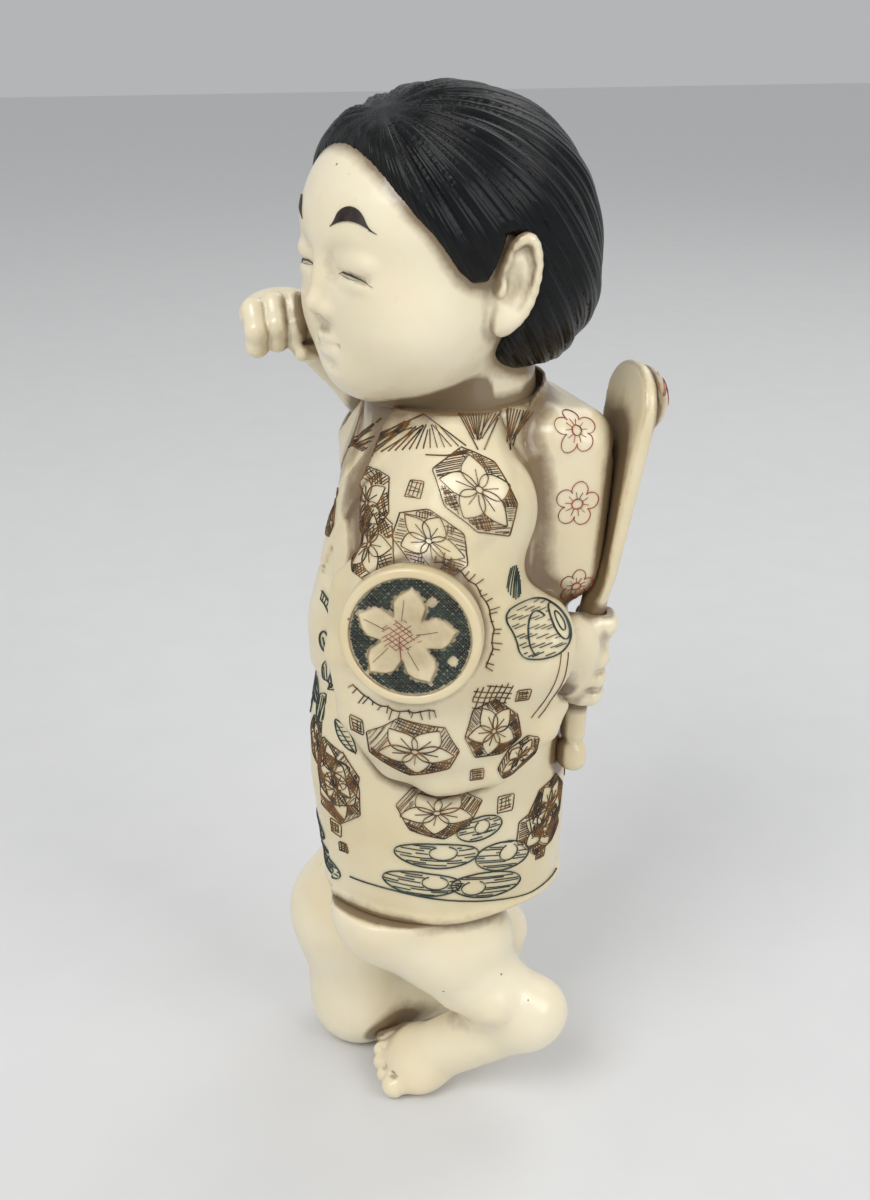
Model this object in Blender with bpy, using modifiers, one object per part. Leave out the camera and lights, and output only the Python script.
"""Cast resin figurine of a kneeling child in a kimono, with a battledore held behind the back.

Metres, +Z up. The child faces -Y and its left hand is on +X. The origin is the middle of the
bounding box, on the surface that the figurine stands on. Every piece is a separate casting or a
steel dowel, and each joint between two castings keeps a thin glue gap.
"""

import math

import bmesh
import bpy
from mathutils import Euler, Matrix, Vector

MM = 0.001

# Fits
GLUE_GAP = 0.3 * MM
DOWEL_CLEARANCE = 0.15 * MM

# Head: everything here is measured from the middle of the skull, before the head is turned
HEAD_MIDDLE = (-0.1 * MM, 1.5 * MM, 113.4 * MM)
HEAD_TURN = math.radians(12)
SKULL_RADII = (14.3 * MM, 15.2 * MM, 13.4 * MM)
SKULL_RISE = 2.0 * MM
FOREHEAD_RADII = (12.4 * MM, 10.8 * MM, 10.4 * MM)
FOREHEAD_FORWARD = 5.6 * MM
JAW_RADII = (12.4 * MM, 12.2 * MM, 10.2 * MM)
JAW_FORWARD = 3.0 * MM
JAW_DROP = 5.4 * MM
CHEEK_RADIUS = 7.0 * MM
CHEEK_SPREAD = 6.2 * MM
CHEEK_FORWARD = 6.8 * MM
CHEEK_DROP = 6.6 * MM
CHIN_RADIUS = 3.6 * MM
CHIN_FORWARD = 10.6 * MM
CHIN_DROP = 11.2 * MM
NOSE_RADIUS = 1.7 * MM
NOSE_FORWARD = 15.2 * MM
NOSE_DROP = 6.2 * MM
EAR_RADII = (1.8 * MM, 2.9 * MM, 5.4 * MM)
EAR_SPREAD = 14.4 * MM
EAR_BACK = 0.1 * MM
EAR_DROP = 2.2 * MM
EAR_FLARE = math.radians(18)
NECK_RADIUS = 8.4 * MM
NECK_BACK = 0.6 * MM
NECK_PLUG_DEPTH = 4.2 * MM

# Hair: a bob that leaves the face and the ears free
HAIR_THICKNESS = 1.3 * MM
HAIR_FULLNESS = 0.5 * MM
NAPE_RADII = (13.6 * MM, 10.6 * MM, 9.8 * MM)
NAPE_BACK = 6.0 * MM
NAPE_DROP = 3.8 * MM
PARTING_FORWARD = 12.2 * MM
PARTING_RISE = 11.6 * MM
SIDEBURN_FORWARD = 4.8 * MM
SIDEBURN_DROP = 2.0 * MM
OVER_EAR_FORWARD = 2.6 * MM
OVER_EAR_RISE = 2.4 * MM
BEHIND_EAR_BACK = 2.0 * MM
HAIR_END_BACK = -3.0 * MM

# Combed locks: ribs that fan out from the front of the parting and meet at the nape
COMB_POLE = Vector((0.14, -0.60, 0.79)).normalized()
LOCK_COUNT = 13
LOCK_RADIUS = 4.0 * MM
LOCK_PROUD = 0.7 * MM
LOCK_START = math.radians(16)
LOCK_END = math.radians(150)
LOCK_BEADS = 20

# Kimono: each ring is its height, half width, half depth and the place of its middle along Y
HEM_HEIGHT = 32.0 * MM
OBI_LOW = 63.4 * MM
OBI_HIGH = 75.0 * MM
COLLAR_TOP = 97.0 * MM
OBI_STEP = 0.7 * MM
EDGE_ROUND = 0.9 * MM
HEM_HALF = (13.6 * MM, 15.4 * MM)
SKIRT_HALF = (14.8 * MM, 16.4 * MM)
WAIST_HALF = (14.2 * MM, 15.0 * MM)
CHEST_HALF = (14.2 * MM, 12.8 * MM)
SHOULDER_HALF = (13.2 * MM, 12.0 * MM)
COLLAR_HALF = (10.2 * MM, 10.6 * MM)
SKIRT_HEIGHT = 48.0 * MM
CHEST_HEIGHT = 84.0 * MM
SHOULDER_HEIGHT = 90.5 * MM
HEM_BACK = 1.2 * MM
CHEST_BACK = 1.4 * MM
COLLAR_BACK = 2.4 * MM
HEM_WALL = 2.0 * MM
HEM_RECESS = 6.0 * MM
ROBE_SIDES = 32

# Crossed collar bands and the front overlap: half width, how far they stand out, lean and middle
BAND_HALF_WIDTH = 2.1 * MM
LEFT_BAND_PROUD = 0.85 * MM
RIGHT_BAND_PROUD = 0.5 * MM
BAND_LEAN = math.radians(32)
BAND_HEIGHT = 86.3 * MM
LEFT_BAND_OUT = 2.3 * MM
RIGHT_BAND_OUT = 1.55 * MM
RIGHT_BAND_BELOW = 3.6 * MM
BAND_LOW = 75.9 * MM
BAND_HIGH = 96.5 * MM
OVERLAP_PROUD = 0.5 * MM
OVERLAP_FROM = 3.4 * MM
OVERLAP_TO = 9.0 * MM
OVERLAP_LOW = 33.4 * MM
OVERLAP_HIGH = 61.6 * MM

# Left sleeve: the arm goes down to the elbow and then back to the hand
LEFT_SHOULDER = (11.0 * MM, 0.2 * MM, 86.2 * MM)
LEFT_ELBOW = (12.8 * MM, -5.4 * MM, 75.6 * MM)
LEFT_CUFF = (14.6 * MM, 7.2 * MM, 69.4 * MM)
SHOULDER_RADIUS = 8.0 * MM
LEFT_ELBOW_RADIUS = 9.0 * MM
LEFT_CUFF_RADIUS = 6.4 * MM
LEFT_BAG_MIDDLE = (13.4 * MM, -1.6 * MM, 64.0 * MM)
LEFT_BAG_RADII = (6.4 * MM, 12.4 * MM, 10.6 * MM)
CUFF_HOLLOW_RADII = (4.6 * MM, 4.0 * MM, 5.4 * MM)

# Inlaid disc on the elbow
MEDALLION_RADIUS = 7.7 * MM
MEDALLION_THICKNESS = 2.6 * MM
MEDALLION_PROUD = 0.7 * MM
MEDALLION_DISH = 0.35 * MM
MEDALLION_RIM = 1.1 * MM
MEDALLION_TURN = math.radians(63)
MEDALLION_TILT = math.radians(4)
MEDALLION_SIDES = 32

# Right sleeve: the upper arm hangs, and the forearm comes up and forward
RIGHT_SHOULDER = (-11.2 * MM, 1.6 * MM, 86.6 * MM)
RIGHT_ELBOW = (-15.2 * MM, 4.2 * MM, 81.0 * MM)
RIGHT_CUFF = (-15.4 * MM, -1.4 * MM, 88.4 * MM)
RIGHT_ELBOW_RADIUS = 7.2 * MM
RIGHT_CUFF_RADIUS = 6.0 * MM
RIGHT_BAG_MIDDLE = (-14.2 * MM, 4.6 * MM, 69.0 * MM)
RIGHT_BAG_RADII = (5.6 * MM, 9.2 * MM, 11.0 * MM)

# Right forearm and its loosely closed hand
RIGHT_ARM_ROOT = (-15.4 * MM, 1.6 * MM, 87.0 * MM)
RIGHT_WRIST = (-15.6 * MM, -11.2 * MM, 100.4 * MM)
RIGHT_ROOT_RADIUS = 4.0 * MM
WRIST_RADIUS = 2.9 * MM
RIGHT_PALM = (-13.4 * MM, -15.0 * MM, 104.1 * MM)
RIGHT_PALM_RADII = (3.8 * MM, 4.9 * MM, 3.0 * MM)
FINGER_RADIUS = 1.35 * MM
FINGER_PITCH = 2.45 * MM
FINGER_COUNT = 4
RIGHT_KNUCKLE = (-10.6 * MM, 105.7 * MM)
RIGHT_FINGER_BEND = (-8.6 * MM, 103.3 * MM)
RIGHT_FINGER_TIP = (-11.4 * MM, 100.9 * MM)
RIGHT_THUMB_ROOT = (-13.8 * MM, -11.2 * MM, 102.1 * MM)
RIGHT_THUMB_TIP = (-10.4 * MM, -12.4 * MM, 100.6 * MM)
THUMB_RADIUS = 1.5 * MM

# Battledore: a straight bat whose axis runs from the end of its handle to its top edge
BAT_END = (10.9 * MM, 14.2 * MM, 50.4 * MM)
BAT_TOP = (7.8 * MM, 21.6 * MM, 100.4 * MM)
HANDLE_RADIUS = 1.6 * MM
HANDLE_END_RADIUS = 1.9 * MM
HANDLE_END_LENGTH = 3.4 * MM
HANDLE_GROOVE = 0.35 * MM
BLADE_START = 22.0 * MM
BLADE_LOW_WIDTH = 4.6 * MM
BLADE_TOP_WIDTH = 13.4 * MM
BLADE_THICKNESS = 1.9 * MM
BLADE_CORNER = 4.4 * MM
BLADE_TURN = math.radians(-6)
PAD_HALF_WIDTH = 5.6 * MM
PAD_HALF_HEIGHT = 3.8 * MM
PAD_THICKNESS = 2.4 * MM
PAD_BELOW_TOP = 4.2 * MM

# Left hand, closed round the handle
HAND_ON_HANDLE = 15.2 * MM
LEFT_PALM_RADII = (3.2 * MM, 3.8 * MM, 5.4 * MM)
LEFT_PALM_OFFSET = (1.8 * MM, -2.6 * MM, 1.0 * MM)
GRIP_RADIUS = 2.6 * MM
GRIP_FINGER_RADIUS = 1.3 * MM
GRIP_FROM = math.radians(-30)
GRIP_TO = math.radians(175)
GRIP_BEADS = 6
LEFT_STUB_RADIUS = 3.3 * MM
LEFT_STUB_DEPTH = 6.0 * MM

# Obi knot on the back
KNOT_MIDDLE = (0.7 * MM, 13.4 * MM, 83.8 * MM)
KNOT_HALF = (10.8 * MM, 6.0 * MM, 11.9 * MM)
KNOT_ROUND = 4.6 * MM

# Left leg: squatting on the ball of the foot
LEFT_HIP = (7.2 * MM, 3.2 * MM, 38.0 * MM)
LEFT_KNEE = (4.9 * MM, -7.8 * MM, 30.0 * MM)
LEFT_ANKLE = (9.6 * MM, 3.8 * MM, 18.6 * MM)
LEFT_HEEL = (13.0 * MM, 9.0 * MM, 15.9 * MM)
LEFT_BALL = (4.6 * MM, -3.8 * MM, 3.8 * MM)
THIGH_RADIUS = 8.0 * MM
LEFT_KNEE_RADIUS = 7.0 * MM
ANKLE_RADIUS = 5.2 * MM
HEEL_RADIUS = 4.6 * MM
BALL_RADII = (5.4 * MM, 5.0 * MM, 4.2 * MM)

# Right leg: kneeling, with the toes tucked under
RIGHT_HIP = (-7.2 * MM, 2.6 * MM, 37.0 * MM)
RIGHT_THIGH = (-8.8 * MM, -9.2 * MM, 21.0 * MM)
RIGHT_KNEE = (-8.6 * MM, -8.6 * MM, 6.6 * MM)
RIGHT_ANKLE = (-7.2 * MM, 7.2 * MM, 6.2 * MM)
RIGHT_HEEL = (-6.4 * MM, 11.4 * MM, 14.2 * MM)
RIGHT_TOES = (-6.8 * MM, 10.6 * MM, 3.2 * MM)
RIGHT_THIGH_RADIUS = 8.4 * MM
RIGHT_KNEE_RADIUS = 6.8 * MM
RIGHT_ANKLE_RADIUS = 4.4 * MM
RIGHT_HEEL_RADIUS = 3.8 * MM
RIGHT_TOES_RADII = (4.6 * MM, 3.4 * MM, 3.2 * MM)

# Toes
TOE_COUNT = 5
TOE_RADIUS = 1.55 * MM
TOE_LENGTH = 3.4 * MM
TOE_PITCH = 2.2 * MM

# Flats that the figurine stands on
SOLE_CUT = 0.5 * MM

# Dowels
DOWEL_RADIUS = 1.2 * MM
NECK_DOWEL_RADIUS = 1.6 * MM
DOWEL_LENGTH = 12.0 * MM
SHORT_DOWEL_LENGTH = 8.0 * MM
DOWEL_SIDES = 12

# Fineness of the fused forms
CELL = 0.8 * MM
FINE_CELL = 0.5 * MM
HAIR_CELL = 0.6 * MM

IVORY = (0.80, 0.70, 0.47, 1.0)
HAIR_BLACK = (0.012, 0.012, 0.016, 1.0)
STEEL = (0.55, 0.56, 0.58, 1.0)
INLAY = (0.78, 0.71, 0.52, 1.0)
OVERSIZE = 80 * MM


def clear_scene():
    for old in list(bpy.data.objects):
        bpy.data.objects.remove(old, do_unlink=True)


def collection(name, hidden=False):
    made = bpy.data.collections.new(name)
    bpy.context.scene.collection.children.link(made)
    made.hide_render = hidden
    return made


def material(name, colour, roughness, metallic=0.0):
    made = bpy.data.materials.new(name)
    made.use_nodes = True
    shader = made.node_tree.nodes["Principled BSDF"]
    shader.inputs["Base Color"].default_value = colour
    shader.inputs["Roughness"].default_value = roughness
    shader.inputs["Metallic"].default_value = metallic
    return made


clear_scene()
FIGURINE = collection("resin_figurine")
CUTTERS = collection("cutters", hidden=True)
RESIN = material("ivory_resin", IVORY, 0.3)
BLACK = material("black_lacquered_resin", HAIR_BLACK, 0.3)
METAL = material("dowel_steel", STEEL, 0.35, 1.0)
DISC = material("inlaid_resin", INLAY, 0.3)


def add_object(name, mesh, finish=None, cutter=False):
    obj = bpy.data.objects.new(name, mesh)
    (CUTTERS if cutter else FIGURINE).objects.link(obj)
    if cutter:
        obj.hide_render = True
        obj.display_type = "WIRE"
    if finish:
        mesh.materials.append(finish)
    return obj


def mesh_from(name, bm):
    bmesh.ops.recalc_face_normals(bm, faces=bm.faces)
    if bm.calc_volume(signed=True) < 0:
        bmesh.ops.reverse_faces(bm, faces=bm.faces)
    mesh = bpy.data.meshes.new(name)
    bm.to_mesh(mesh)
    bm.free()
    return mesh


def evaluated_mesh(obj):
    bpy.context.view_layer.update()
    graph = bpy.context.evaluated_depsgraph_get()
    return bpy.data.meshes.new_from_object(obj.evaluated_get(graph))


def triangle_count(mesh):
    mesh.calc_loop_triangles()
    return len(mesh.loop_triangles)


def add_ball(bm, middle, radii, turn=Matrix.Identity(4)):
    """An ellipsoid; radii is one number or one for each axis."""
    if not hasattr(radii, "__len__"):
        radii = (radii,) * 3
    place = Matrix.Translation(middle) @ turn @ Matrix.Diagonal((*radii, 1))
    bmesh.ops.create_uvsphere(bm, u_segments=24, v_segments=14, radius=1, matrix=place)


def add_limb(bm, start, start_radius, end, end_radius):
    """A tapered limb with round ends."""
    start, end = Vector(start), Vector(end)
    axis = end - start
    turn = axis.to_track_quat("Z", "Y").to_matrix().to_4x4()
    place = Matrix.Translation((start + end) / 2) @ turn
    bmesh.ops.create_cone(
        bm, cap_ends=True, segments=24, radius1=start_radius, radius2=end_radius,
        depth=axis.length, matrix=place,
    )
    add_ball(bm, start, start_radius)
    add_ball(bm, end, end_radius)


def fuse(name, bm, finish, cell, passes, triangles, cutter=False):
    """Overlapping forms become one smooth skin with about this many triangles."""
    obj = add_object(name, mesh_from(name, bm), finish, cutter)
    skin = obj.modifiers.new("one_skin", "REMESH")
    skin.mode = "VOXEL"
    skin.voxel_size = cell
    soften = obj.modifiers.new("soften", "SMOOTH")
    soften.iterations = passes
    fine = evaluated_mesh(obj)
    thin = obj.modifiers.new("thin_out", "DECIMATE")
    thin.ratio = min(1.0, triangles / triangle_count(fine))
    bpy.data.meshes.remove(fine)
    obj.data = evaluated_mesh(obj)
    obj.modifiers.clear()
    obj.data.shade_smooth()
    return obj


def clearance_copy(obj, gap=GLUE_GAP):
    """The piece as it is now, grown by a gap, to cut its neighbours with."""
    copy = add_object(obj.name + "_clearance", evaluated_mesh(obj), cutter=True)
    copy.matrix_world = obj.matrix_world
    grow = copy.modifiers.new("gap", "DISPLACE")
    grow.strength = gap
    grow.mid_level = 0
    return copy


def boolean(obj, other, operation="DIFFERENCE"):
    cut = obj.modifiers.new(other.name, "BOOLEAN")
    cut.operation = operation
    cut.object = other
    return cut


def block(name, low, high):
    """A box-shaped cutter between two corners."""
    low, high = Vector(low), Vector(high)
    bm = bmesh.new()
    size = Matrix.Diagonal((*(high - low), 1))
    bmesh.ops.create_cube(bm, size=1, matrix=Matrix.Translation((low + high) / 2) @ size)
    return add_object(name, mesh_from(name, bm), cutter=True)


def rod(name, start, end, radius, finish=None, sides=DOWEL_SIDES, cutter=False):
    start, end = Vector(start), Vector(end)
    axis = end - start
    bm = bmesh.new()
    bmesh.ops.create_cone(
        bm, cap_ends=True, segments=sides, radius1=radius, radius2=radius, depth=axis.length
    )
    obj = add_object(name, mesh_from(name, bm), finish, cutter)
    obj.rotation_mode = "QUATERNION"
    obj.rotation_quaternion = axis.to_track_quat("Z", "Y")
    obj.location = (start + end) / 2
    return obj


def dowel(name, middle, direction, length, radius, pieces):
    """A steel dowel, and the blind hole for it in each piece that it joins."""
    half = Vector(direction).normalized() * length / 2
    middle = Vector(middle)
    pin = rod(name, middle - half, middle + half, radius, METAL)
    spare = half.normalized() * DOWEL_CLEARANCE
    drill = rod(
        name + "_drill", middle - half - spare, middle + half + spare,
        radius + DOWEL_CLEARANCE, cutter=True,
    )
    for piece in pieces:
        boolean(piece, drill)
    return pin


def mirrored(middle):
    return (-middle[0], middle[1], middle[2])


HEAD_FRAME = Matrix.Translation(HEAD_MIDDLE) @ Matrix.Rotation(HEAD_TURN, 4, "Z")


def make_head():
    bm = bmesh.new()
    add_ball(bm, (0, 0, SKULL_RISE), SKULL_RADII)
    add_ball(bm, (0, -FOREHEAD_FORWARD, SKULL_RISE), FOREHEAD_RADII)
    add_ball(bm, (0, -JAW_FORWARD, -JAW_DROP), JAW_RADII)
    add_ball(bm, (0, -CHIN_FORWARD, -CHIN_DROP), CHIN_RADIUS)
    add_ball(bm, (0, -NOSE_FORWARD, -NOSE_DROP), NOSE_RADIUS)
    ear = (EAR_SPREAD, EAR_BACK, -EAR_DROP)
    cheek = (CHEEK_SPREAD, -CHEEK_FORWARD, -CHEEK_DROP)
    for side, flare in ((lambda p: p, -EAR_FLARE), (mirrored, EAR_FLARE)):
        add_ball(bm, side(cheek), CHEEK_RADIUS)
        add_ball(bm, side(ear), EAR_RADII, Matrix.Rotation(flare, 4, "Z"))
    plug_end = COLLAR_TOP - NECK_PLUG_DEPTH - HEAD_MIDDLE[2]
    neck_top = -JAW_DROP
    bmesh.ops.create_cone(
        bm, cap_ends=True, segments=32, radius1=NECK_RADIUS, radius2=NECK_RADIUS,
        depth=neck_top - plug_end,
        matrix=Matrix.Translation((0, NECK_BACK, (neck_top + plug_end) / 2)),
    )
    bm.transform(HEAD_FRAME)
    return fuse("head", bm, RESIN, FINE_CELL, 6, 1300)


def face_window():
    """A prism across the head that takes the hair off the face and off the ears."""
    outline = (
        (-OVERSIZE / 2, PARTING_RISE + (OVERSIZE / 2 - PARTING_FORWARD)),
        (-PARTING_FORWARD, PARTING_RISE),
        (-SIDEBURN_FORWARD, -SIDEBURN_DROP),
        (-OVER_EAR_FORWARD, OVER_EAR_RISE),
        (BEHIND_EAR_BACK, OVER_EAR_RISE),
        (HAIR_END_BACK, -OVERSIZE / 3),
        (-OVERSIZE / 2, -OVERSIZE / 3),
    )
    curve = bpy.data.curves.new("face_window_outline", "CURVE")
    curve.dimensions = "2D"
    curve.fill_mode = "BOTH"
    curve.extrude = OVERSIZE / 4
    spline = curve.splines.new("POLY")
    spline.points.add(len(outline) - 1)
    for point, (forward, height) in zip(spline.points, outline):
        point.co = (forward, height, 0, 1)
    spline.use_cyclic_u = True
    guide = bpy.data.objects.new("face_window_curve", curve)
    CUTTERS.objects.link(guide)
    mesh = evaluated_mesh(guide)
    bpy.data.objects.remove(guide)
    bm = bmesh.new()
    bm.from_mesh(mesh)
    bmesh.ops.remove_doubles(bm, verts=bm.verts, dist=0.01 * MM)
    stand_up = Matrix(((0, 0, 1, 0), (1, 0, 0, 0), (0, 1, 0, 0), (0, 0, 0, 1)))
    bm.transform(HEAD_FRAME @ stand_up)
    return add_object("face_window", mesh_from("face_window", bm), cutter=True)


def reach(way, middle, radii):
    """How far a ray from the middle of the skull goes before it leaves a ball, or zero."""
    start = Vector([-m / r for m, r in zip(middle, radii)])
    step = Vector([w / r for w, r in zip(way, radii)])
    half = start.dot(step)
    inside = half * half - step.length_squared * (start.length_squared - 1)
    return max((math.sqrt(inside) - half) / step.length_squared, 0) if inside > 0 else 0


def add_locks(bm, forms):
    """Ribs along the lines of the comb, over the outermost of the hair's forms."""
    down = Vector((0, -COMB_POLE.z, COMB_POLE.y)).normalized()
    across = COMB_POLE.cross(down)
    centre = Vector((0, 0, SKULL_RISE))
    for i in range(LOCK_COUNT):
        turn = 2 * math.pi * (i + 0.5) / LOCK_COUNT
        sideways = down * math.cos(turn) + across * math.sin(turn)
        for k in range(LOCK_BEADS + 1):
            angle = LOCK_START + (LOCK_END - LOCK_START) * k / LOCK_BEADS
            way = COMB_POLE * math.cos(angle) + sideways * math.sin(angle)
            radius = LOCK_RADIUS * math.sin(angle) ** 0.7
            far = max(reach(way, Vector(middle) - centre, radii) for middle, radii in forms)
            far += LOCK_PROUD * math.sin(angle) - radius
            bmesh.ops.create_icosphere(
                bm, subdivisions=2, radius=radius, matrix=Matrix.Translation(centre + way * far)
            )


def make_hair(head):
    bm = bmesh.new()
    outer = [radius + HAIR_THICKNESS - LOCK_PROUD / 2 for radius in SKULL_RADII]
    outer[0] += HAIR_FULLNESS
    skull = ((0, 0, SKULL_RISE), outer)
    nape = ((0, NAPE_BACK, -NAPE_DROP), NAPE_RADII)
    for middle, radii in (skull, nape):
        add_ball(bm, middle, radii)
    add_locks(bm, (skull, nape))
    brow = [radius + HAIR_THICKNESS for radius in FOREHEAD_RADII]
    add_ball(bm, (0, -FOREHEAD_FORWARD, SKULL_RISE), brow)
    bm.transform(HEAD_FRAME)
    hair = fuse("hair", bm, BLACK, HAIR_CELL, 4, 1700)
    boolean(hair, clearance_copy(head))
    boolean(hair, face_window())
    return hair


def robe_rings():
    """Height, half width, half depth and middle of each ring, from the hem to the collar."""
    step = OBI_STEP
    mid_obi = (OBI_LOW + OBI_HIGH) / 2

    def ring(height, half, back, grow=0.0):
        return height, half[0] + grow, half[1] + grow, back

    chest_start = [(a + b) / 2 for a, b in zip(WAIST_HALF, CHEST_HALF)]
    return (
        ring(HEM_HEIGHT, HEM_HALF, HEM_BACK, -EDGE_ROUND),
        ring(HEM_HEIGHT + EDGE_ROUND * 0.4, HEM_HALF, HEM_BACK, -EDGE_ROUND * 0.3),
        ring(HEM_HEIGHT + EDGE_ROUND, HEM_HALF, HEM_BACK),
        ring((HEM_HEIGHT + SKIRT_HEIGHT) / 2, SKIRT_HALF, HEM_BACK * 0.8, -0.35 * MM),
        ring(SKIRT_HEIGHT, SKIRT_HALF, HEM_BACK * 0.5),
        ring((OBI_LOW + SKIRT_HEIGHT) / 2, SKIRT_HALF, HEM_BACK * 0.4, -0.3 * MM),
        ring(OBI_LOW - step, WAIST_HALF, HEM_BACK * 0.3),
        ring(OBI_LOW, WAIST_HALF, HEM_BACK * 0.3, step),
        ring(mid_obi, WAIST_HALF, HEM_BACK * 0.3, step * 1.6),
        ring(OBI_HIGH, WAIST_HALF, HEM_BACK * 0.4, step * 0.6),
        ring(OBI_HIGH + step, chest_start, HEM_BACK * 0.6, -step * 0.4),
        ring(CHEST_HEIGHT, CHEST_HALF, CHEST_BACK),
        ring(SHOULDER_HEIGHT, SHOULDER_HALF, CHEST_BACK * 1.3),
        ring((SHOULDER_HEIGHT + COLLAR_TOP) / 2, COLLAR_HALF, COLLAR_BACK, 0.7 * MM),
        ring(COLLAR_TOP, COLLAR_HALF, COLLAR_BACK),
    )


def raised_band(name, rings, proud, slab):
    """A strip of cloth that follows the robe: its rings grown a little, within a slab."""
    grown = [(height, wide + proud, deep + proud, back) for height, wide, deep, back in rings]
    band = loft(name, grown, cutter=True)
    boolean(band, slab, "INTERSECT")
    return band


def add_front(robe):
    """The crossed collar bands above the sash, and the overlap's edge below it."""
    chest_start = [(a + b) / 2 for a, b in zip(WAIST_HALF, CHEST_HALF)]
    chest = (
        (BAND_LOW, *chest_start, HEM_BACK * 0.6),
        (CHEST_HEIGHT, *CHEST_HALF, CHEST_BACK),
        (SHOULDER_HEIGHT, *SHOULDER_HALF, CHEST_BACK * 1.3),
        ((SHOULDER_HEIGHT + COLLAR_TOP) / 2, *(half + 0.7 * MM for half in COLLAR_HALF), COLLAR_BACK),
        (BAND_HIGH, *COLLAR_HALF, COLLAR_BACK),
    )
    length = BAND_HIGH - BAND_LOW
    for name, side, out, below, proud in (
        ("right_band", -1, RIGHT_BAND_OUT, RIGHT_BAND_BELOW, RIGHT_BAND_PROUD),
        ("left_band", 1, LEFT_BAND_OUT, length, LEFT_BAND_PROUD),
    ):
        slab = block(
            name + "_slab", (-BAND_HALF_WIDTH, -OVERSIZE / 2, -below),
            (BAND_HALF_WIDTH, -CHEST_BACK, length),
        )
        slab.location = (side * out, 0, BAND_HEIGHT)
        slab.rotation_euler = (0, side * BAND_LEAN, 0)
        boolean(robe, raised_band(name, chest, proud, slab), "UNION")
    skirt = (
        (OVERLAP_LOW, *HEM_HALF, HEM_BACK),
        ((HEM_HEIGHT + SKIRT_HEIGHT) / 2, *(half - 0.35 * MM for half in SKIRT_HALF), HEM_BACK * 0.8),
        (SKIRT_HEIGHT, *SKIRT_HALF, HEM_BACK * 0.5),
        (OVERLAP_HIGH, *WAIST_HALF, HEM_BACK * 0.3),
    )
    panel = block(
        "overlap_slab", (OVERLAP_FROM, -OVERSIZE / 2, 0), (OVERLAP_TO, 0, OVERSIZE),
    )
    boolean(robe, raised_band("overlap", skirt, OVERLAP_PROUD, panel), "UNION")


def loft(name, rings, finish=None, sides=ROBE_SIDES, cutter=False):
    """A closed skin through level rings."""
    bm = bmesh.new()
    loops = []
    for height, half_width, half_depth, back in rings:
        turns = [2 * math.pi * i / sides for i in range(sides)]
        loops.append([
            bm.verts.new((half_width * math.sin(a), back - half_depth * math.cos(a), height))
            for a in turns
        ])
    for low, high in zip(loops, loops[1:]):
        for i in range(sides):
            j = (i + 1) % sides
            bm.faces.new((low[i], low[j], high[j], high[i]))
    bm.faces.new(loops[0][::-1])
    bm.faces.new(loops[-1])
    return add_object(name, mesh_from(name, bm), finish, cutter)


def open_robe(robe, head):
    """The socket for the neck, and the recess under the hem that takes the tops of the legs."""
    inside = (HEM_HALF[0] - HEM_WALL, HEM_HALF[1] - HEM_WALL)
    recess = loft("hem_recess", (
        (HEM_HEIGHT - OVERSIZE / 8, inside[0], inside[1], HEM_BACK),
        (HEM_HEIGHT + HEM_RECESS, inside[0], inside[1], HEM_BACK),
    ), cutter=True)
    boolean(robe, recess)
    boolean(robe, clearance_copy(head))


def make_left_sleeve(robe):
    bm = bmesh.new()
    add_limb(bm, LEFT_SHOULDER, SHOULDER_RADIUS, LEFT_ELBOW, LEFT_ELBOW_RADIUS)
    add_limb(bm, LEFT_ELBOW, LEFT_ELBOW_RADIUS, LEFT_CUFF, LEFT_CUFF_RADIUS)
    add_ball(bm, LEFT_BAG_MIDDLE, LEFT_BAG_RADII)
    sleeve = fuse("left_sleeve", bm, RESIN, CELL, 6, 900)
    boolean(sleeve, clearance_copy(robe))
    hollow = bmesh.new()
    mouth = Vector(LEFT_CUFF) + Vector((0, LEFT_CUFF_RADIUS, 0))
    add_ball(hollow, mouth, CUFF_HOLLOW_RADII)
    boolean(sleeve, add_object("cuff_hollow", mesh_from("cuff_hollow", hollow), cutter=True))
    return sleeve


def make_right_sleeve(robe):
    bm = bmesh.new()
    add_limb(bm, RIGHT_SHOULDER, SHOULDER_RADIUS, RIGHT_ELBOW, RIGHT_ELBOW_RADIUS)
    add_limb(bm, RIGHT_ELBOW, RIGHT_ELBOW_RADIUS, RIGHT_CUFF, RIGHT_CUFF_RADIUS)
    add_ball(bm, RIGHT_BAG_MIDDLE, RIGHT_BAG_RADII)
    sleeve = fuse("right_sleeve", bm, RESIN, CELL, 6, 700)
    boolean(sleeve, clearance_copy(robe))
    return sleeve


MEDALLION_OUT = Vector((
    math.sin(MEDALLION_TURN) * math.cos(MEDALLION_TILT),
    -math.cos(MEDALLION_TURN) * math.cos(MEDALLION_TILT),
    math.sin(MEDALLION_TILT),
))


def medallion_profile():
    """Radius and height of the turned disc, outer side from top to bottom."""
    top = MEDALLION_THICKNESS
    dish = top - MEDALLION_DISH
    return (
        (0, dish + MEDALLION_DISH * 0.6),
        (MEDALLION_RADIUS * 0.5, dish + MEDALLION_DISH * 0.4),
        (MEDALLION_RADIUS - MEDALLION_RIM * 1.3, dish),
        (MEDALLION_RADIUS - MEDALLION_RIM, top),
        (MEDALLION_RADIUS - MEDALLION_RIM * 0.4, top),
        (MEDALLION_RADIUS, top - MEDALLION_RIM * 0.4),
        (MEDALLION_RADIUS, 0),
        (0, 0),
    )


def turned(name, profile, sides, finish=None, cutter=False):
    """A profile of radius and height, turned about Z."""
    mesh = bpy.data.meshes.new(name)
    points = [(radius, 0, height) for radius, height in profile]
    mesh.from_pydata(points, [(i, i + 1) for i in range(len(points) - 1)], [])
    obj = add_object(name, mesh, finish, cutter)
    screw = obj.modifiers.new("turn", "SCREW")
    screw.steps = screw.render_steps = sides
    screw.use_merge_vertices = True
    screw.merge_threshold = 0.01 * MM
    return obj


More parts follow.
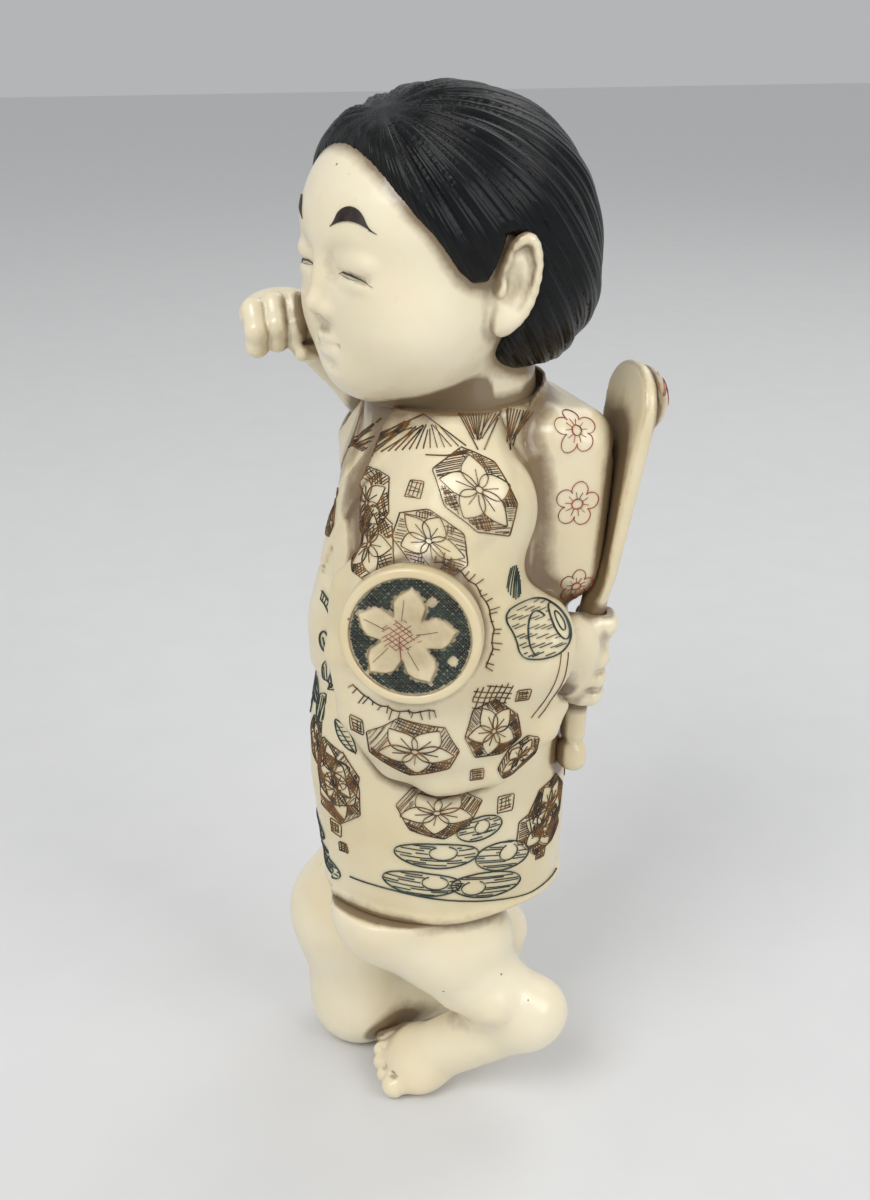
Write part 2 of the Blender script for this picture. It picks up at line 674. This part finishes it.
def make_medallion(sleeve):
    """The disc sits in a recess with a clearance all round it."""
    face = Vector(LEFT_ELBOW) + MEDALLION_OUT * (LEFT_ELBOW_RADIUS + MEDALLION_PROUD)
    back = face - MEDALLION_OUT * MEDALLION_THICKNESS
    disc = turned("sleeve_medallion", medallion_profile(), MEDALLION_SIDES, DISC)
    disc.rotation_mode = "QUATERNION"
    disc.rotation_quaternion = MEDALLION_OUT.to_track_quat("Z", "Y")
    disc.location = back
    seat = rod(
        "medallion_seat", back - MEDALLION_OUT * GLUE_GAP, face + MEDALLION_OUT * MEDALLION_RADIUS,
        MEDALLION_RADIUS + GLUE_GAP, sides=MEDALLION_SIDES, cutter=True,
    )
    boolean(sleeve, seat)
    return disc


def make_right_forearm(robe, head):
    bm = bmesh.new()
    add_limb(bm, RIGHT_ARM_ROOT, RIGHT_ROOT_RADIUS, RIGHT_WRIST, WRIST_RADIUS)
    add_limb(bm, RIGHT_WRIST, WRIST_RADIUS, RIGHT_PALM, WRIST_RADIUS)
    add_ball(bm, RIGHT_PALM, RIGHT_PALM_RADII)
    first = RIGHT_PALM[1] + FINGER_PITCH * (FINGER_COUNT - 1) / 2
    for i in range(FINGER_COUNT):
        y = first - i * FINGER_PITCH
        knuckle = (RIGHT_KNUCKLE[0], y, RIGHT_KNUCKLE[1])
        bend = (RIGHT_FINGER_BEND[0], y, RIGHT_FINGER_BEND[1])
        tip = (RIGHT_FINGER_TIP[0], y, RIGHT_FINGER_TIP[1])
        add_limb(bm, (RIGHT_PALM[0], y, RIGHT_PALM[2]), FINGER_RADIUS, knuckle, FINGER_RADIUS)
        add_limb(bm, knuckle, FINGER_RADIUS, bend, FINGER_RADIUS)
        add_limb(bm, bend, FINGER_RADIUS, tip, FINGER_RADIUS)
    add_limb(bm, RIGHT_THUMB_ROOT, THUMB_RADIUS, RIGHT_THUMB_TIP, THUMB_RADIUS * 0.85)
    forearm = fuse("right_forearm", bm, RESIN, FINE_CELL, 3, 900)
    boolean(forearm, clearance_copy(robe))
    boolean(forearm, clearance_copy(head))
    return forearm


BAT_AXIS = Vector(BAT_TOP) - Vector(BAT_END)
BAT_UP = BAT_AXIS.normalized()
BAT_SIDE = Vector((math.cos(BLADE_TURN), math.sin(BLADE_TURN), 0))
BAT_FACE = BAT_SIDE.cross(BAT_UP).normalized()
BAT_SIDE = BAT_UP.cross(BAT_FACE)


def bat_point(along, side=0.0, out=0.0):
    """A point on the battledore: along its axis, towards its left edge, and out of its back."""
    return Vector(BAT_END) + BAT_UP * along + BAT_SIDE * side - BAT_FACE * out


BAT_FRAME = Matrix.Translation(BAT_END) @ Matrix((
    (*BAT_SIDE[:1], BAT_UP[0], -BAT_FACE[0], 0),
    (BAT_SIDE[1], BAT_UP[1], -BAT_FACE[1], 0),
    (BAT_SIDE[2], BAT_UP[2], -BAT_FACE[2], 0),
    (0, 0, 0, 1),
))


def blade_outline():
    """Half widths and places along the axis, with a rounded corner at the top."""
    length = BAT_AXIS.length
    low, top = BLADE_LOW_WIDTH / 2, BLADE_TOP_WIDTH / 2
    right = [(low, BLADE_START), (top, length - BLADE_CORNER)]
    corner = (top - BLADE_CORNER, length - BLADE_CORNER)
    for i in range(1, 5):
        angle = math.radians(90 * i / 4)
        right.append((
            corner[0] + BLADE_CORNER * math.cos(angle), corner[1] + BLADE_CORNER * math.sin(angle)
        ))
    return right + [(-x, y) for x, y in reversed(right)]


def make_battledore():
    bm = bmesh.new()
    outline = [bm.verts.new((x, y, -BLADE_THICKNESS / 2)) for x, y in blade_outline()]
    face = bm.faces.new(outline)
    raised = bmesh.ops.extrude_face_region(bm, geom=[face])["geom"]
    lift = Vector((0, 0, BLADE_THICKNESS))
    bmesh.ops.translate(bm, vec=lift, verts=[v for v in raised if isinstance(v, bmesh.types.BMVert)])
    bm.transform(BAT_FRAME)
    bat = add_object("battledore", mesh_from("battledore", bm), RESIN)
    bevel = bat.modifiers.new("soft_edge", "BEVEL")
    bevel.width = BLADE_THICKNESS * 0.3
    bevel.segments = 2
    groove_top = HANDLE_END_LENGTH + HANDLE_GROOVE * 2
    profile = (
        (0, BLADE_START + HANDLE_RADIUS * 2),
        (HANDLE_RADIUS * 0.4, BLADE_START + HANDLE_RADIUS * 2),
        (HANDLE_RADIUS, BLADE_START - HANDLE_RADIUS),
        (HANDLE_RADIUS, groove_top),
        (HANDLE_RADIUS - HANDLE_GROOVE, groove_top - HANDLE_GROOVE),
        (HANDLE_END_RADIUS, HANDLE_END_LENGTH - HANDLE_GROOVE),
        (HANDLE_END_RADIUS, HANDLE_GROOVE * 2),
        (HANDLE_END_RADIUS * 0.6, 0),
        (0, 0),
    )
    handle = turned("bat_handle", profile, 20, cutter=True)
    handle.rotation_mode = "QUATERNION"
    handle.rotation_quaternion = BAT_UP.to_track_quat("Z", "Y")
    handle.location = BAT_END
    boolean(bat, handle, "UNION")
    return bat


def make_bat_pad():
    """The padded roll across the top of the battledore's outer face."""
    seat = BLADE_THICKNESS / 2 + GLUE_GAP
    bm = bmesh.new()
    add_ball(
        bm, (0, BAT_AXIS.length - PAD_BELOW_TOP, seat),
        (PAD_HALF_WIDTH, PAD_HALF_HEIGHT, PAD_THICKNESS),
    )
    bmesh.ops.bisect_plane(
        bm, geom=[*bm.verts, *bm.edges, *bm.faces], plane_co=(0, 0, seat),
        plane_no=(0, 0, 1), clear_inner=True,
    )
    bmesh.ops.holes_fill(bm, edges=[edge for edge in bm.edges if edge.is_boundary])
    bm.transform(BAT_FRAME)
    pad = add_object("battledore_pad", mesh_from("battledore_pad", bm), RESIN)
    pad.data.shade_smooth()
    return pad


def make_left_hand(bat, robe, cuff):
    """Fingers wrap the handle from the back, and the wrist goes into the sleeve."""
    bm = bmesh.new()
    grip = bat_point(HAND_ON_HANDLE)
    palm = grip + Vector(LEFT_PALM_OFFSET)
    add_ball(bm, palm, LEFT_PALM_RADII)
    inward = Vector(cuff) - palm
    stub = palm + inward.normalized() * (inward.length - LEFT_CUFF_RADIUS + LEFT_STUB_DEPTH)
    add_limb(bm, palm, LEFT_STUB_RADIUS, stub, LEFT_STUB_RADIUS)
    first = -FINGER_PITCH * (FINGER_COUNT - 1) / 2
    for i in range(FINGER_COUNT):
        along = HAND_ON_HANDLE + first + i * FINGER_PITCH
        beads = []
        for k in range(GRIP_BEADS + 1):
            angle = GRIP_FROM + (GRIP_TO - GRIP_FROM) * k / GRIP_BEADS
            beads.append(bat_point(
                along, GRIP_RADIUS * math.cos(angle), GRIP_RADIUS * math.sin(angle)
            ))
        for a, b in zip(beads, beads[1:]):
            add_limb(bm, a, GRIP_FINGER_RADIUS, b, GRIP_FINGER_RADIUS)
    thumb_root = palm - Vector((GRIP_RADIUS, 0, 0)) * 0.3
    thumb_tip = bat_point(HAND_ON_HANDLE + FINGER_PITCH * 1.2, -GRIP_RADIUS, GRIP_RADIUS * 0.2)
    add_limb(bm, thumb_root, THUMB_RADIUS, thumb_tip, THUMB_RADIUS)
    hand = fuse("left_hand", bm, RESIN, FINE_CELL, 3, 900)
    boolean(hand, clearance_copy(bat))
    boolean(hand, clearance_copy(robe))
    return hand


def make_knot(robe, sleeves, bat):
    bm = bmesh.new()
    bmesh.ops.create_cube(bm, size=2, matrix=Matrix.Translation(KNOT_MIDDLE) @ Matrix.Diagonal((*KNOT_HALF, 1)))
    bmesh.ops.bevel(
        bm, geom=bm.edges[:], offset=KNOT_ROUND, segments=4, profile=0.5, affect="EDGES"
    )
    knot = fuse("obi_knot", bm, RESIN, CELL, 8, 500)
    boolean(knot, clearance_copy(robe))
    for sleeve in sleeves:
        boolean(knot, clearance_copy(sleeve))
    boolean(knot, clearance_copy(bat))
    return knot


def add_toes(bm, middle, along, across, down):
    """Five round toes side by side, the outer ones shorter."""
    for i in range(TOE_COUNT):
        offset = i - (TOE_COUNT - 1) / 2
        reach = TOE_LENGTH * (1 - 0.1 * abs(offset))
        root = Vector(middle) + Vector(across) * offset * TOE_PITCH + Vector(down)
        add_limb(bm, root, TOE_RADIUS * 1.1, root + Vector(along) * reach, TOE_RADIUS)


def make_left_leg(cuts):
    bm = bmesh.new()
    add_limb(bm, LEFT_HIP, THIGH_RADIUS, LEFT_KNEE, LEFT_KNEE_RADIUS)
    add_limb(bm, LEFT_KNEE, LEFT_KNEE_RADIUS, LEFT_ANKLE, ANKLE_RADIUS)
    add_limb(bm, LEFT_ANKLE, ANKLE_RADIUS, LEFT_HEEL, HEEL_RADIUS)
    add_limb(bm, LEFT_HEEL, HEEL_RADIUS, LEFT_BALL, BALL_RADII[2])
    ball = Vector(LEFT_BALL) - Vector((0, 0, SOLE_CUT))
    forward = ball - Vector(LEFT_HEEL)
    forward.z = 0
    forward.normalize()
    across = Vector((-forward.y, forward.x, 0))
    turn = forward.to_track_quat("-Y", "Z").to_matrix().to_4x4()
    add_ball(bm, ball, BALL_RADII, turn)
    low = Vector((0, 0, TOE_RADIUS - BALL_RADII[2] * 0.75))
    add_toes(bm, ball, forward, across, forward * BALL_RADII[1] * 0.55 + low)
    leg = fuse("left_leg", bm, RESIN, FINE_CELL, 4, 1100)
    for cut in cuts:
        boolean(leg, cut)
    return leg


def make_right_leg(cuts):
    bm = bmesh.new()
    add_limb(bm, RIGHT_HIP, THIGH_RADIUS, RIGHT_THIGH, RIGHT_THIGH_RADIUS)
    knee = Vector(RIGHT_KNEE) - Vector((0, 0, SOLE_CUT))
    add_limb(bm, RIGHT_THIGH, RIGHT_THIGH_RADIUS, knee, RIGHT_KNEE_RADIUS)
    add_limb(bm, knee, RIGHT_KNEE_RADIUS, RIGHT_ANKLE, RIGHT_ANKLE_RADIUS)
    add_limb(bm, RIGHT_ANKLE, RIGHT_ANKLE_RADIUS, RIGHT_HEEL, RIGHT_HEEL_RADIUS)
    toes = Vector(RIGHT_TOES) - Vector((0, 0, SOLE_CUT))
    add_limb(bm, RIGHT_HEEL, RIGHT_HEEL_RADIUS, toes, RIGHT_TOES_RADII[2])
    add_ball(bm, toes, RIGHT_TOES_RADII)
    add_toes(
        bm, toes, Vector((0, -1, -0.05)).normalized(), (1, 0, 0),
        (0, 0, TOE_RADIUS - RIGHT_TOES_RADII[2] * 0.8),
    )
    leg = fuse("right_leg", bm, RESIN, FINE_CELL, 4, 1100)
    for cut in cuts:
        boolean(leg, cut)
    return leg


def make_hem_cut():
    """All that lies above the hem's edge, but for the inside of the recess."""
    inside = (HEM_HALF[0] - HEM_WALL - GLUE_GAP, HEM_HALF[1] - HEM_WALL - GLUE_GAP)
    cut = block(
        "hem_cut", (-OVERSIZE, -OVERSIZE, HEM_HEIGHT - GLUE_GAP), (OVERSIZE, OVERSIZE, OVERSIZE)
    )
    plug = loft("hem_plug", (
        (HEM_HEIGHT - OVERSIZE / 8, inside[0], inside[1], HEM_BACK),
        (HEM_HEIGHT + HEM_RECESS - GLUE_GAP, inside[0], inside[1], HEM_BACK),
    ), cutter=True)
    boolean(cut, plug)
    return cut


def stand_on_origin():
    """Parents everything to an empty that brings the middle of the bounding box to the origin."""
    pieces = list(FIGURINE.objects)
    bpy.context.view_layer.update()
    graph = bpy.context.evaluated_depsgraph_get()
    corners = []
    for piece in pieces:
        seen = piece.evaluated_get(graph)
        corners += [seen.matrix_world @ vertex.co for vertex in seen.data.vertices]
    low = Vector([min(c[k] for c in corners) for k in range(3)])
    high = Vector([max(c[k] for c in corners) for k in range(3)])
    base = bpy.data.objects.new("figurine_base", None)
    FIGURINE.objects.link(base)
    base.location = (-(low.x + high.x) / 2, -(low.y + high.y) / 2, -low.z)
    for moved in [*pieces, *CUTTERS.objects]:
        moved.parent = base
    print("moved by", [round(v / MM, 3) for v in base.location], "mm")
    return base


def main():
    head = make_head()
    make_hair(head)
    robe = loft("robe", robe_rings(), RESIN)
    left_sleeve = make_left_sleeve(robe)
    right_sleeve = make_right_sleeve(robe)
    make_medallion(left_sleeve)
    forearm = make_right_forearm(robe, head)
    boolean(right_sleeve, clearance_copy(forearm))
    bat = make_battledore()
    make_bat_pad()
    hand = make_left_hand(bat, robe, LEFT_CUFF)
    boolean(left_sleeve, clearance_copy(hand))
    knot = make_knot(robe, (left_sleeve, right_sleeve), bat)
    add_front(robe)
    open_robe(robe, head)
    hem_cut = make_hem_cut()
    ground = block("ground", (-OVERSIZE, -OVERSIZE, -OVERSIZE), (OVERSIZE, OVERSIZE, 0))
    right_leg = make_right_leg((ground, hem_cut))
    left_leg = make_left_leg((ground, hem_cut, clearance_copy(right_leg)))
    neck_middle = (HEAD_MIDDLE[0], HEAD_MIDDLE[1] + NECK_BACK, COLLAR_TOP - NECK_PLUG_DEPTH)
    recess_top = HEM_HEIGHT + HEM_RECESS
    stub = Vector(LEFT_CUFF) + Vector((0, LEFT_STUB_RADIUS, 0))
    shoulder_x = (WAIST_HALF[0] + LEFT_SHOULDER[0]) / 2
    arm_line = Vector(RIGHT_WRIST) - Vector(RIGHT_ARM_ROOT)
    arm_root = Vector(RIGHT_ARM_ROOT) - arm_line.normalized() * RIGHT_ROOT_RADIUS
    knot_y = CHEST_BACK + CHEST_HALF[1]
    dowel("neck_dowel", neck_middle, (0, 0, 1), DOWEL_LENGTH, NECK_DOWEL_RADIUS, (head, robe))
    dowel("left_shoulder_dowel", (shoulder_x, *LEFT_SHOULDER[1:]), (1, 0, 0),
          SHORT_DOWEL_LENGTH, DOWEL_RADIUS, (robe, left_sleeve))
    dowel("right_sleeve_dowel", (-WAIST_HALF[0], *RIGHT_BAG_MIDDLE[1:]), (1, 0, 0),
          SHORT_DOWEL_LENGTH, DOWEL_RADIUS, (robe, right_sleeve))
    dowel("left_wrist_dowel", stub, Vector(LEFT_CUFF) - bat_point(HAND_ON_HANDLE),
          SHORT_DOWEL_LENGTH, DOWEL_RADIUS, (left_sleeve, hand))
    dowel("right_elbow_dowel", arm_root, arm_line, SHORT_DOWEL_LENGTH, DOWEL_RADIUS,
          (right_sleeve, forearm))
    dowel("knot_dowel", (0, knot_y, KNOT_MIDDLE[2]), (0, 1, 0), SHORT_DOWEL_LENGTH,
          DOWEL_RADIUS, (robe, knot))
    dowel("left_leg_dowel", (LEFT_HIP[0], LEFT_HIP[1], recess_top), (0, 0, 1), DOWEL_LENGTH,
          DOWEL_RADIUS, (robe, left_leg))
    dowel("right_leg_dowel", (RIGHT_HIP[0], RIGHT_HIP[1], recess_top), (0, 0, 1), DOWEL_LENGTH,
          DOWEL_RADIUS, (robe, right_leg))
    stand_on_origin()


main()
